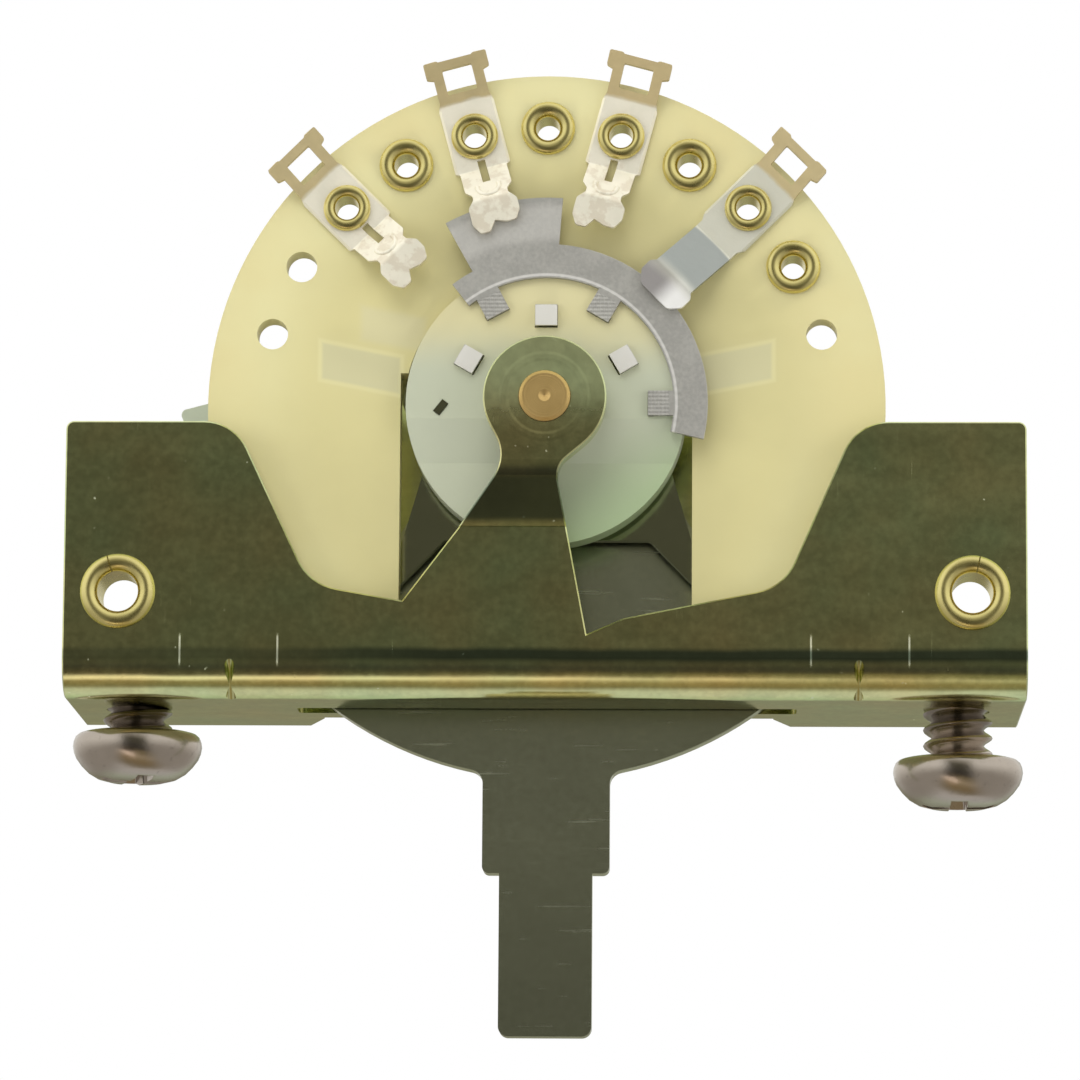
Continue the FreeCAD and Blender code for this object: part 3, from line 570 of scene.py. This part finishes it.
    def driver_plating(self, settings):
        """Smooth zinc that mirrors what is round it."""
        material, shader, place = new_material("bright_zinc_plating")
        tint = Vector(settings.driver_tint)
        cloud = place.noise(0.3, 2.0)
        feed(shader, "Base Color", cloud.blend(tuple(tint * 0.9), tuple(tint * 1.1)))
        feed(shader, "Metallic", 1.0)
        grain = place.noise(2.0, 3.0, 0.6)
        feed(shader, "Roughness", grain * 0.1 + 0.06)
        feed(shader, "Normal", bump(place, grain * 0.3 + place.noise(0.25, 2.0) * 6.0, 0.003))
        return material


class SWITCH_OT_finish_contacts(bpy.types.Operator):
    """Finishes the wafer, rotor, lugs, blades, hollow rivets and axle"""

    bl_idname = "switch.finish_contacts"
    bl_label = "Finish the contacts"

    def execute(self, context):
        settings = context.scene.switch_contacts
        lugs = [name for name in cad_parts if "lug" in name and "eyelets" not in name]
        assign(self.laminate(settings), "stator_wafer")
        assign(self.milky_nylon(settings), "rotor")
        assign(self.silver_plate(settings, "silver_plate"), *lugs)
        assign(self.silver_plate(settings, "silver_plate_polish_and_painted_light", True), "front_common_lug")
        assign(self.blade_plate(), "front_contact_blade", "rear_contact_blade")
        assign(self.bright_brass(settings), "lug_eyelets", "frame_eyelets")
        assign(self.turned_brass(settings), "axle", "lever_bush")
        assign(self.spring_bronze(), "index_spring")
        assign(self.rivet_steel(), "index_rivets")
        return {"FINISHED"}

    def laminate(self, settings):
        """Pale board with painted shade inwards, round the rotor, and three bars behind it that show
        faintly through as painted shade, the pair with a painted light rim.
        """
        material, shader, place = new_material("pale_laminate")
        tint = Vector(settings.board)
        cloud = place.noise(0.16, 3.0).steps(0.3, 0.7)
        radius = radius_from_pivot(place)
        # Painted shade: the board darkens inwards, round the rotor.
        deep = Vector((tint.x * 0.9, tint.y * 0.88, tint.z * 0.8))
        inner = cloud.blend(tuple(deep * 0.96), tuple(deep * 1.04))
        outer = cloud.blend((tint.x, tint.y * 0.96, tint.z * 0.9), tuple(tint * 1.03))
        colour = radius.steps(11.0, 15.5).blend(inner, outer)
        x, up = from_pivot(place)
        # Painted see-through shade of three bars behind the board, with a painted light rim round the
        # pair.
        pair = self.inset_from_bar(abs(x) - 9.3, up - 1.95, 1.95, 0.9)
        third = self.inset_from_bar(-7.7 - x, up - 3.95, 1.7, 0.95)
        colour = (pair.steps(0.3, 0.12) * 0.35).blend(colour, (0.82, 0.78, 0.46))
        colour = (third.steps(0.15, -0.3) * 0.6).blend(colour, (0.67, 0.63, 0.39))
        feed(shader, "Base Color", (pair.steps(0.1, -0.1) * 0.75).blend(colour, (0.60, 0.57, 0.34)))
        weave = place.noise(3.0, 2.0, 0.5)
        feed(shader, "Roughness", weave * 0.15 + 0.42)
        feed(shader, "Normal", bump(place, weave, 0.004))
        feed(shader, "Transmission Weight", 0.25)
        return material

    def inset_from_bar(self, along, up, length, width):
        """Distance out from a tilted bar of these half sizes, negative inside it."""
        return (abs(along) - length).larger(abs(up - along * BAR_TILT) - width)

    def milky_nylon(self, settings):
        """Nylon with painted coloured light: the board's yellow above and the driver's green at the
        lower right, and painted light where the land slopes, which lifts the shade of that band."""
        material, shader, place = new_material("milky_nylon")
        tint = Vector(settings.nylon)
        cloud = place.noise(0.3, 3.0)
        x, up = from_pivot(place)
        colour = cloud.blend(tuple(tint * 0.95), tuple(tint * 1.05))
        # Painted light: the board's yellow on the rotor's upper part.
        colour = (up * 0.25 - 0.3 + cloud * 0.4).steps(0.2, 1.1).blend(colour, (0.72, 0.66, 0.37))
        # Painted light that lifts the shade of the land's sloped band.
        painted_slope_light = up.steps(-0.72, -0.78) * up.steps(-2.93, -2.87)
        colour = (painted_slope_light * 0.14).blend(colour, (0.95, 1.0, 0.80))
        # Painted light: the driver's green at the lower right.
        green = (x * 0.15 - up * 0.25 + cloud * 0.6).steps(0.9, 2.4)
        feed(shader, "Base Color", green.blend(colour, (0.42, 0.53, 0.30)))
        grain = place.noise(2.0, 2.0, 0.5)
        feed(shader, "Roughness", grain * 0.15 + 0.3)
        feed(shader, "Normal", bump(place, grain, 0.004))
        feed(shader, "Transmission Weight", 0.25)
        return material

    def silver_plate(self, settings, name, polish_and_painted_light=False):
        """Silver with tarnished solder ends. Throw lugs have blotches of painted shade on their lower
        halves, where their springs are formed, and the front common lug has a painted dark reflection
        on its slope and a painted highlight across its tip."""
        material, shader, place = new_material(name)
        radius = radius_from_pivot(place)
        blotch = place.noise(1.1, 3.0, 0.6)
        silver, tarnish = Vector(settings.silver), Vector(settings.tarnish)
        body = blotch.blend((silver.x * 0.84, silver.y * 0.86, silver.z * 0.84), tuple(silver))
        metallic = 0.45
        if polish_and_painted_light:
            body = (blotch * 0.4 + 0.25).blend(body, (0.50, 0.53, 0.45))
            # Painted dark reflection on the common lug's slope.
            painted_slope_shade = radius.steps(8.7, 9.6) * radius.steps(11.85, 11.7) * 0.9
            body = painted_slope_shade.blend(body, (0.38, 0.41, 0.40))
            metallic = painted_slope_shade * 0.4 + metallic
            x, up = from_pivot(place)
            # Painted highlight on the tip's lower right, painted shade on its upper left.
            painted_tip_highlight = (x * 0.69 - up * 0.72).steps(-0.5, 0.6)
            tip = painted_tip_highlight.blend((0.36, 0.34, 0.33), (0.96, 0.95, 0.92))
            body = radius.steps(9.5, 8.4).blend(body, tip)
        else:
            # Painted shade: dark blotches on the throw lugs' lower halves, where their springs are
            # formed.
            painted_fold_shade = place.noise(1.3, 3.0, 0.6).steps(0.47, 0.6) * radius.steps(13.2, 12.6) * 0.4
            body = painted_fold_shade.blend(body, (0.60, 0.50, 0.36))
        aged = (radius + (blotch - 0.5) * 0.25).steps(16.05, 16.3)
        end = blotch.blend(tuple(tarnish * 0.85), tuple(tarnish * 1.12))
        feed(shader, "Base Color", aged.blend(body, end))
        feed(shader, "Metallic", metallic)
        feed(shader, "Roughness", blotch * 0.2 + 0.28)
        grain = place.noise(5.0, 2.0, 0.5)
        feed(shader, "Normal", bump(place, blotch + grain * 0.12, 0.02))
        return material

    def blade_plate(self):
        """Grey rubbed silver, with a bright rubbed track, a painted highlight on the clinched ends and
        painted highlights along the rims.
        """
        material, shader, place = new_material("rubbed_silver_plate")
        radius = radius_from_pivot(place)
        cloud = place.noise(0.8, 3.0)
        speck = place.noise(5.0, 2.0, 0.6)
        bright = (cloud * 0.5 + speck * 0.5).steps(0.35, 0.65)
        # Painted highlight on the clinched ends, joined to the rubbed track's mask.
        clinched = radius.steps(5.05, 4.95)
        wiped_track_and_clinch_highlight = (radius.steps(8.0, 8.6) * radius.steps(10.3, 9.8) * 0.3).larger(clinched)
        colour = bright.blend((0.40, 0.39, 0.36), (0.48, 0.47, 0.43))
        x = place.in_mm("X")[0]
        # Painted highlights along the ring's inner rim and, to the right, along its outer rim.
        outer = radius.steps(8.02, 8.14) * radius.steps(8.4, 8.3) * x.steps(2.0, 2.4)
        rim = radius.steps(6.42, 6.48) * radius.steps(6.62, 6.55) + outer
        colour = wiped_track_and_clinch_highlight.blend(colour, (0.88, 0.86, 0.80))
        feed(shader, "Base Color", (rim * 0.6).blend(colour, (0.92, 0.90, 0.86)))
        feed(shader, "Metallic", 0.5)
        feed(shader, "Roughness", speck * 0.2 + 0.3)
        feed(shader, "Normal", bump(place, speck * 0.3 + self.knurl(place, radius), 0.012))
        return material

    def knurl(self, place, radius):
        """Fine ridges pressed into the blades' tabs, and a dotted line along the ring's inner edge."""
        x, z = place.in_mm("XZ")
        tab = radius.steps(4.95, 5.05) * radius.steps(6.2, 6.1)
        ridges = ((x + z) * KNURL_PITCH).sine() * ((x - z) * KNURL_PITCH).sine() * tab
        dots = (x.angle(z - PIVOT_HEIGHT) * KNURL_DOTS).sine()
        line = radius.steps(6.4, 6.5) * radius.steps(6.85, 6.7)
        return ridges * 1.2 + dots * line * 0.5

    def bright_brass(self, settings):
        """Brass of the hollow rivets."""
        material, shader, place = new_material("bright_brass")
        tint = Vector(settings.brass)
        cloud = place.noise(1.2, 3.0)
        feed(shader, "Base Color", cloud.blend(tuple(tint * 0.9), tuple(tint * 1.1)))
        feed(shader, "Metallic", 1.0)
        feed(shader, "Roughness", cloud * 0.12 + 0.22)
        feed(shader, "Normal", bump(place, cloud, 0.01))
        return material

    def turned_brass(self, settings):
        """Browner brass with fine turning rings about the axle's line."""
        material, shader, place = new_material("turned_brass")
        tint = Vector(settings.brass)
        radius = radius_from_pivot(place)
        rings = radius.node(
            "TexNoise", {"noise_dimensions": "1D"}, W=radius * 14.0, Scale=1.0, Detail=3.0
        )
        cloud = place.noise(1.5, 3.0)
        worn = Vector((tint.x * 0.9, tint.y * 0.72, tint.z * 0.7))
        deep = (worn.x * 0.82, worn.y * 0.78, worn.z * 0.72)
        feed(shader, "Base Color", cloud.blend(deep, tuple(worn)))
        feed(shader, "Metallic", 0.8)
        feed(shader, "Roughness", rings * 0.3 + 0.22)
        feed(shader, "Normal", bump(place, rings, 0.008))
        return material

    def spring_bronze(self):
        """Rolled bronze, grained along the leaf."""
        material, shader, place = new_material("spring_bronze")
        grain = place.noise(2.0, 3.0, 0.6, (4, 1, 0.3))
        feed(shader, "Base Color", grain.blend((0.5, 0.33, 0.18), (0.66, 0.45, 0.26)))
        feed(shader, "Metallic", 1.0)
        feed(shader, "Roughness", grain * 0.2 + 0.2)
        feed(shader, "Normal", bump(place, grain, 0.004))
        return material

    def rivet_steel(self):
        """Plain grey steel."""
        material, shader, place = new_material("rivet_steel")
        grain = place.noise(2.5, 3.0, 0.6)
        feed(shader, "Base Color", grain.blend((0.5, 0.5, 0.47), (0.66, 0.66, 0.62)))
        feed(shader, "Metallic", 1.0)
        feed(shader, "Roughness", grain * 0.2 + 0.25)
        feed(shader, "Normal", bump(place, grain, 0.006))
        return material


# Studio

# What a mirror-like surface sees all round in the plane through the camera: the angle up from
# behind the camera in degrees, and the light there. Dark near the camera, a table's warm edge
# below it, pale at the back and overhead.
SURROUNDINGS = (
    (-180, (0.26, 0.25, 0.17)),
    (-170, (0.25, 0.24, 0.17)),
    (-147, (0.52, 0.58, 0.47)),
    (-123, (0.64, 0.65, 0.65)),
    (-104, (0.66, 0.65, 0.64)),
    (-91, (0.25, 0.21, 0.13)),
    (-72, (0.34, 0.25, 0.13)),
    (-62, (1.50, 1.25, 1.05)),
    (-51, (0.10, 0.08, 0.05)),
    (-27, (0.055, 0.052, 0.045)),
    (-4, (0.092, 0.088, 0.064)),
    (9, (0.094, 0.090, 0.066)),
    (17, (0.19, 0.18, 0.14)),
    (30, (0.36, 0.35, 0.30)),
    (60, (0.85, 0.85, 0.82)),
    (110, (0.95, 0.95, 0.93)),
    (165, (0.90, 0.90, 0.86)),
    (180, (0.50, 0.50, 0.45)),
)


class SWITCH_OT_set_studio(bpy.types.Operator):
    """Sets the floor, the backdrop's white, the soft boxes and the camera"""

    bl_idname = "switch.set_studio"
    bl_label = "Set the studio"

    def execute(self, context):
        settings = context.scene.switch_studio
        self.floor()
        self.world(context)
        self.lamps(context, settings)
        self.camera(context, settings)
        context.scene.view_settings.view_transform = "Standard"
        return {"FINISHED"}

    def floor(self):
        bpy.ops.object.select_all(action="DESELECT")
        bpy.ops.mesh.primitive_plane_add(size=3.0, location=(0, 0, FLOOR_HEIGHT * MM))
        floor = bpy.context.object
        floor.name = "studio_floor"
        material, shader, place = new_material("pale_floor")
        cloud = place.noise(0.01, 2.0)
        feed(shader, "Base Color", cloud.blend((0.8, 0.8, 0.79), (0.84, 0.84, 0.83)))
        feed(shader, "Roughness", 0.7)
        floor.data.materials.append(material)
        floor.visible_glossy = False

    def world(self, context):
        """White to the camera, soft grey light, and the surroundings in what is mirror-like."""
        world = bpy.data.worlds.new("studio_world")
        context.scene.world = world
        world.use_nodes = True
        tree = world.node_tree
        background = tree.nodes["Background"]
        start = Wire(tree, background.outputs[0])
        path = start.node("LightPath")
        direction = start.node("TexCoord").out("Generated")
        axes = direction.node("SeparateXYZ", None, Vector=direction)
        x, y, z = axes.out("X"), axes.out("Y"), axes.out("Z")
        turn = z.angle(y * -1.0) * (1.0 / math.tau) + 0.5 + x * 0.1
        stops = [((angle + 180.0) / 360.0, colour) for angle, colour in SURROUNDINGS]
        ring = turn.node("ValToRGB", {"stops": stops}, Fac=turn)
        right_of_table_edge = x.steps(-0.06, 0.01) * turn.steps(0.28, 0.31) * turn.steps(0.4, 0.37)
        ring = (right_of_table_edge * 0.8).blend(ring, (0.30, 0.25, 0.14))
        sides = abs(x).steps(0.2, 0.55)
        beside = z.steps(-0.5, 0.3).blend((0.42, 0.40, 0.37), (0.95, 0.95, 0.92))
        soft = path.out("Is Glossy Ray").blend((0.55, 0.55, 0.55), sides.blend(ring, beside))
        clear = path.out("Is Camera Ray") + path.out("Is Transmission Ray")
        colour = clear.blend(soft, (1.0, 1.0, 1.0))
        tree.links.new(colour.socket, background.inputs["Color"])

    def lamps(self, context, settings):
        """Square soft boxes: a name, a place and a side in metres, and a share of the power."""
        aim = Vector((0, 0, 0.008))
        boxes = (
            ("soft_box_above", (-0.08, -0.26, 0.3), 0.28, 1.0),
            ("soft_box_left", (-0.36, -0.22, 0.06), 0.22, 0.6),
            ("soft_box_right", (0.36, -0.2, 0.05), 0.22, 0.5),
        )
        for name, spot, size, share in boxes:
            lamp = bpy.data.lights.new(name, "AREA")
            lamp.shape = "SQUARE"
            lamp.size = size
            lamp.energy = settings.key_power * share
            holder = bpy.data.objects.new(name, lamp)
            holder.location = spot
            holder.visible_glossy = False
            holder.rotation_euler = (aim - Vector(spot)).to_track_quat("-Z", "Y").to_euler()
            context.collection.objects.link(holder)

    def camera(self, context, settings):
        """A camera at the photograph's angle, distance and lens."""
        azimuth, elevation, roll = settings.azimuth, settings.elevation, settings.roll
        forward = Vector((
            -math.sin(azimuth) * math.cos(elevation),
            math.cos(azimuth) * math.cos(elevation),
            -math.sin(elevation),
        ))
        level = Vector((math.cos(azimuth), math.sin(azimuth), 0))
        upright = level.cross(forward)
        right = level * math.cos(roll) + upright * math.sin(roll)
        up = upright * math.cos(roll) - level * math.sin(roll)
        aim = Vector((-0.223, -5.9, 7.765)) * MM
        data = bpy.data.cameras.new("camera")
        data.lens = settings.lens
        data.sensor_width = SENSOR_WIDTH
        data.clip_start = 0.01
        camera = bpy.data.objects.new("camera", data)
        turn = Matrix((right, up, -forward)).transposed().to_4x4()
        camera.matrix_world = Matrix.Translation(aim - forward * settings.distance) @ turn
        context.collection.objects.link(camera)
        context.scene.camera = camera


class SWITCH_PT_panel(bpy.types.Panel):
    """Lists the steps"""

    bl_idname = "SWITCH_PT_panel"
    bl_label = "Pickup switch"
    bl_space_type = "VIEW_3D"
    bl_region_type = "UI"
    bl_category = "Switch"

    def draw(self, context):
        for step in STEPS:
            self.layout.operator(step)


STEPS = ("switch.plate_steel", "switch.finish_contacts", "switch.thread_screws", "switch.set_studio")
GROUPS = {
    "switch_plating": PlatingSettings,
    "switch_contacts": ContactSettings,
    "switch_screws": ScrewSettings,
    "switch_studio": StudioSettings,
}
CLASSES = (
    SWITCH_OT_plate_steel,
    SWITCH_OT_finish_contacts,
    SWITCH_OT_thread_screws,
    SWITCH_OT_set_studio,
    SWITCH_PT_panel,
)


def register():
    for name, group in GROUPS.items():
        bpy.utils.register_class(group)
        setattr(bpy.types.Scene, name, PointerProperty(type=group))
    for kind in CLASSES:
        bpy.utils.register_class(kind)


def unregister():
    for kind in reversed(CLASSES):
        bpy.utils.unregister_class(kind)
    for name, group in GROUPS.items():
        delattr(bpy.types.Scene, name)
        bpy.utils.unregister_class(group)


def main():
    register()
    for step in STEPS:
        group, name = step.split(".")
        getattr(getattr(bpy.ops, group), name)()


if __name__ == "__main__":
    main()
